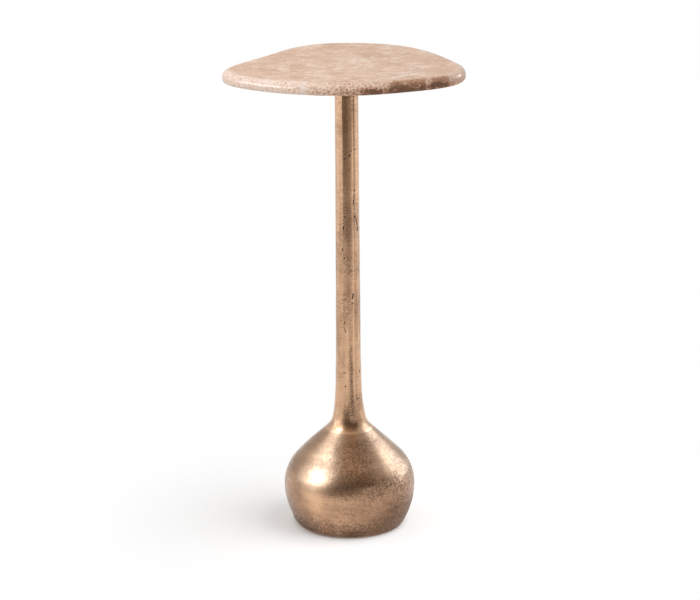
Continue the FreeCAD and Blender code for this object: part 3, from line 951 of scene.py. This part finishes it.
def finish_hidden_pieces():
    """Gives the fittings, which keep their CAD shapes, their finishes."""
    zinc = zinc_plate()
    paint = painted_steel()
    finishes = {
        "stone_inserts": turned_brass(),
        "flange_gasket": black_rubber(),
        "top_flange": paint,
        "base_cover": paint,
        "ballast": sand_cast_iron(),
    }
    for node in ("top_lock_washers", "top_screws", "tie_rod", "rod_washer", "rod_lock_washer", "rod_nut",
                 "cover_screws"):
        finishes[node] = zinc
    for node, material in finishes.items():
        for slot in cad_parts[node].material_slots:
            slot.material = material


# Studio

def paper_floor():
    """White paper, see-through from below and under the felt, and lifted to white for rays that show it,
    except close round the foot, where the missing lift paints a shade.
    """
    mesh = bmesh.new()
    bmesh.ops.create_grid(mesh, x_segments=1, y_segments=1, size=1)
    bmesh.ops.scale(mesh, vec=(FLOOR_HALF_WIDTH, (FLOOR_REAR - FLOOR_FRONT) / 2, 1), verts=mesh.verts)
    bmesh.ops.translate(mesh, vec=(0, (FLOOR_REAR + FLOOR_FRONT) / 2, 0), verts=mesh.verts)
    skew = Matrix.Rotation(FLOOR_SKEW, 3, "Z")
    bmesh.ops.rotate(mesh, cent=(0, FLOOR_FRONT, 0), matrix=skew, verts=mesh.verts)
    data = bpy.data.meshes.new("paper_floor")
    mesh.to_mesh(data)
    mesh.free()
    paper = Finish("white_paper")
    camera = paper.node("LightPath", output="Is Camera Ray")
    mirrored = paper.node("LightPath", output="Is Glossy Ray")
    through = paper.node("LightPath", output="Is Transmission Ray")
    seen = camera.at_least(mirrored).at_least(through)
    far = paper.vector("LENGTH", paper.place(), output=1)
    fibres = paper.cloud(3, detail=3.0)
    tint = paper.blend(fibres, (0.88, 0.88, 0.88), (0.90, 0.90, 0.90))
    matt = paper.node("BsdfDiffuse", None, {"Color": tint})
    # Painted shade: no lift close round the foot, so the floor stays darker there
    lift = paper.blend(far.rise(*PAINTED_FOOT_SHADE), (0, 0, 0), (1, 1, 1))
    glow = paper.node("Emission", None, {"Color": lift, "Strength": FLOOR_LIFT})
    lifted = paper.node("AddShader", None, {0: matt, 1: glow})
    shown = paper.node("MixShader", None, {0: seen, 1: matt, 2: lifted})
    white = paper.node("Emission", None, {"Color": (1, 1, 1), "Strength": 1.0})
    faded = paper.node("MixShader", None, {0: seen * far.rise(*FLOOR_FADE), 1: shown, 2: white})
    below = paper.node("NewGeometry", output="Backfacing").at_least(far.fall(*FLOOR_OPENING))
    clear = paper.node("BsdfTransparent", None, {"Color": (1, 1, 1)})
    paper.output(paper.node("MixShader", None, {0: below, 1: faded, 2: clear}))
    data.materials.append(paper.owner)
    floor = bpy.data.objects.new("paper_floor", data)
    bpy.context.scene.collection.objects.link(floor)
    return floor


def studio_walls():
    """White to the eye and even for light; reflections show pale walls, a dark front and a dusky ceiling."""
    world = bpy.data.worlds.new("studio")
    bpy.context.scene.world = world
    walls = Finish("studio", world)
    direction = walls.node("TexCoord", output=0)
    across, deep, high = (walls.node("SeparateXYZ", None, {0: direction}, axis) for axis in range(3))
    turn = walls.maths("DEGREES", walls.maths("ARCTAN2", across, deep * -1))
    front = turn.rise(-50, -40) * turn.fall(54, 66)
    board_top = turn.rise(0, 24) * turn.fall(38, 56) * 0.34
    board = (high - board_top).fall(-0.05, 0.05) * high.rise(-0.06, -0.02) * turn.rise(0, 11.46)
    low_right = high.fall(-0.15, -0.03) * turn.rise(-20, 30) * 0.35
    dark = front * (1 - board) * (1 - low_right)
    ceiling = high.rise(0.50, 0.93)
    mirrored_wall = (0.68 - dark * 0.52) * (1 - ceiling) + ceiling * 0.56
    camera = walls.node("LightPath", output="Is Camera Ray")
    mirrored = walls.node("LightPath", output="Is Glossy Ray")
    side_light = WALL_LIGHT + abs(across).rise(0.3, 1.0) * SIDE_LIGHT
    strength = camera.at_least(mirrored * mirrored_wall + (1 - mirrored) * side_light)
    colour = walls.blend(mirrored * dark, (1, 1, 1), (1, 0.83, 0.67))
    walls.output(walls.node("Background", None, {"Color": colour, "Strength": strength}))


def softbox(name, turn, climb, distance, aim, width, height, radiance, colour=(1, 1, 1), roll=0):
    """Rectangular lamp at a turn from the front towards +X, a climb above level and a roll, in degrees."""
    lamp = bpy.data.lights.new(name, "AREA")
    lamp.shape = "RECTANGLE"
    lamp.size = width
    lamp.size_y = height
    lamp.energy = radiance * 4 * width * height
    lamp.color = colour
    light = bpy.data.objects.new(name, lamp)
    level = math.cos(math.radians(climb))
    way = Vector((math.sin(math.radians(turn)) * level, -math.cos(math.radians(turn)) * level,
                  math.sin(math.radians(climb))))
    light.location = Vector(aim) + way * distance
    rolled = way.to_track_quat("Z", "Y") @ Quaternion(UP, math.radians(roll))
    light.rotation_euler = rolled.to_euler()
    light.visible_camera = False
    bpy.context.scene.collection.objects.link(light)
    return light


def keep_off(light, *pieces):
    """Keeps a lamp's light off some pieces."""
    group = bpy.data.collections.new(light.name + "_leaves_out")
    light.light_linking.receiver_collection = group
    for piece in pieces:
        group.objects.link(piece)
    for member in group.collection_objects:
        member.light_linking.link_state = "EXCLUDE"


def camera():
    data = bpy.data.cameras.new("camera")
    data.lens = CAMERA_LENS
    data.clip_end = 50
    eye = bpy.data.objects.new("camera", data)
    tilt = Matrix.Rotation(math.radians(90 - CAMERA_PITCH), 4, "X")
    roll = Matrix.Rotation(math.radians(-CAMERA_ROLL), 4, "Z")
    eye.matrix_world = Matrix.Translation(CAMERA_PLACE) @ tilt @ roll
    bpy.context.scene.collection.objects.link(eye)
    bpy.context.scene.camera = eye


top = pebble_top()
stem = cast_stem()
bulb = cast_bulb()
felt_disc()
finish_hidden_pieces()
floor = paper_floor()
studio_walls()
keep_off(softbox("left_softbox", -82, 34, 1.6, FOOT, 1.50, 1.65, 1.5, DAYLIGHT), floor, top, stem)
keep_off(softbox("left_wall", -82, 34, 1.6, FOOT, 1.50, 1.65, 0.9), floor, top, bulb)
keep_off(softbox("left_core", -68.7, 35.5, 1.6, FOOT, 0.80, 0.94, 6.6, DAYLIGHT, 25), floor, top, stem)
keep_off(softbox("left_glint", -75, 50, 1.2, NECK, 0.40, 0.24, 6.0, DAYLIGHT), floor, top, bulb)
keep_off(softbox("right_softbox", 116, 23, 1.8, FOOT, 1.45, 1.35, 2.35, DAYLIGHT), floor, top, stem)
keep_off(softbox("right_glint", 116, 32, 1.5, NECK, 1.0, 1.0, 1.3, DAYLIGHT), floor, top, bulb)
keep_off(softbox("left_panel", -106, -13, 0.95, STEM_MIDDLE, 0.24, 0.46, 0.33, DAYLIGHT), floor, top, bulb)
keep_off(softbox("right_panel", 106, -13, 0.95, STEM_MIDDLE, 0.24, 0.46, 0.30, DAYLIGHT), floor, top, bulb)
stone_key = softbox("stone_key", -60, 68, 1.5, TOP, 1.2, 1.2, 2.8)
stone_side = softbox("stone_side", -70, 20, 1.6, TOP, 1.16, 0.40, 0.7)
stone_bounce = softbox("stone_bounce", -28, -14, 1.5, TOP, 1.2, 0.5, 2.0)
for light in (stone_key, stone_side, stone_bounce):
    light.visible_glossy = False
    keep_off(light, floor, stem, bulb)
stone_strip = softbox("stone_strip", -60, 11, 1.6, TOP, 1.30, 0.60, 13.0)
stone_corner = softbox("stone_corner", 119, 17, 1.6, TOP, 0.60, 0.45, 7.0)
for light in (stone_strip, stone_corner):
    light.visible_diffuse = False
    keep_off(light, floor, stem, bulb)
keep_off(softbox("floor_key", 72, 50, 1.6, FOOT, 1.5, 1.5, 1.8), top, stem, bulb)
camera()
bpy.context.scene.view_settings.view_transform = "Standard"
